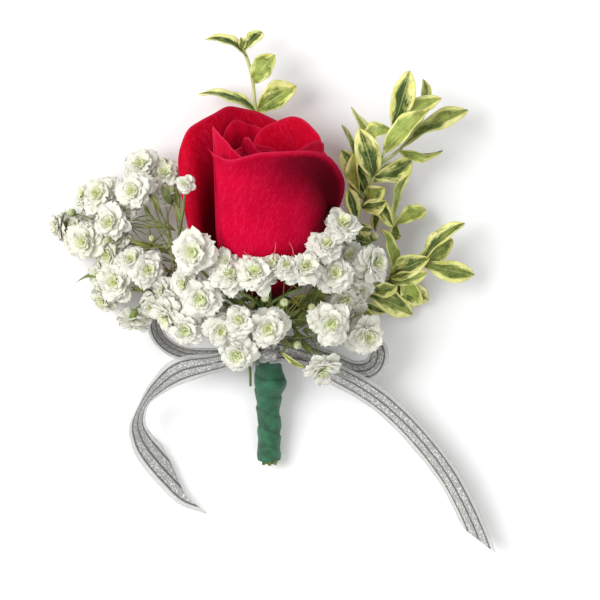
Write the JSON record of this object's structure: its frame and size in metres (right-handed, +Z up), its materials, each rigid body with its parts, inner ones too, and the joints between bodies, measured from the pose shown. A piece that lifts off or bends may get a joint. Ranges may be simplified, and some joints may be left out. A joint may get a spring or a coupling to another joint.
{
  "type": "rose boutonniere",
  "caption": "Red rose boutonniere lying on its back: a bloom with double gypsophila sprays and variegated boxwood, bound in green floral tape and tied with a sheer ribbon bow.",
  "frame": {"origin": "middle of the small flat spot under the back of the bloom, on the surface that the boutonniere lies on", "axes": "+Z up, away from the surface; +Y along the bloom's axis seen from above, from the cut stems towards the bloom's open end; +X to the right seen from above with the stems towards the viewer"},
  "size_m": [0.1442, 0.1698, 0.0542],
  "materials": {
    "rose_petal": "velvety, soft satin sheen",
    "rose_green": "satin, slightly waxy",
    "gypsophila": "matte, translucent",
    "boxwood": "satin, waxy, cream margins",
    "floral_tape": "waxed crepe, matte with a slight sheen",
    "organza_ribbon": "sheer, with glittering woven bands"
  },
  "bodies": {
    "root": {"rose_bloom": "rose_petal", "rose_stem": "rose_green", "gypsophila_left": "gypsophila", "gypsophila_centre": "gypsophila", "gypsophila_right": "gypsophila", "boxwood_top": "boxwood", "boxwood_upper_right": "boxwood", "boxwood_lower_right": "boxwood", "stem_tape": "floral_tape", "ribbon_bow": "organza_ribbon"}
  },
  "joints": []
}
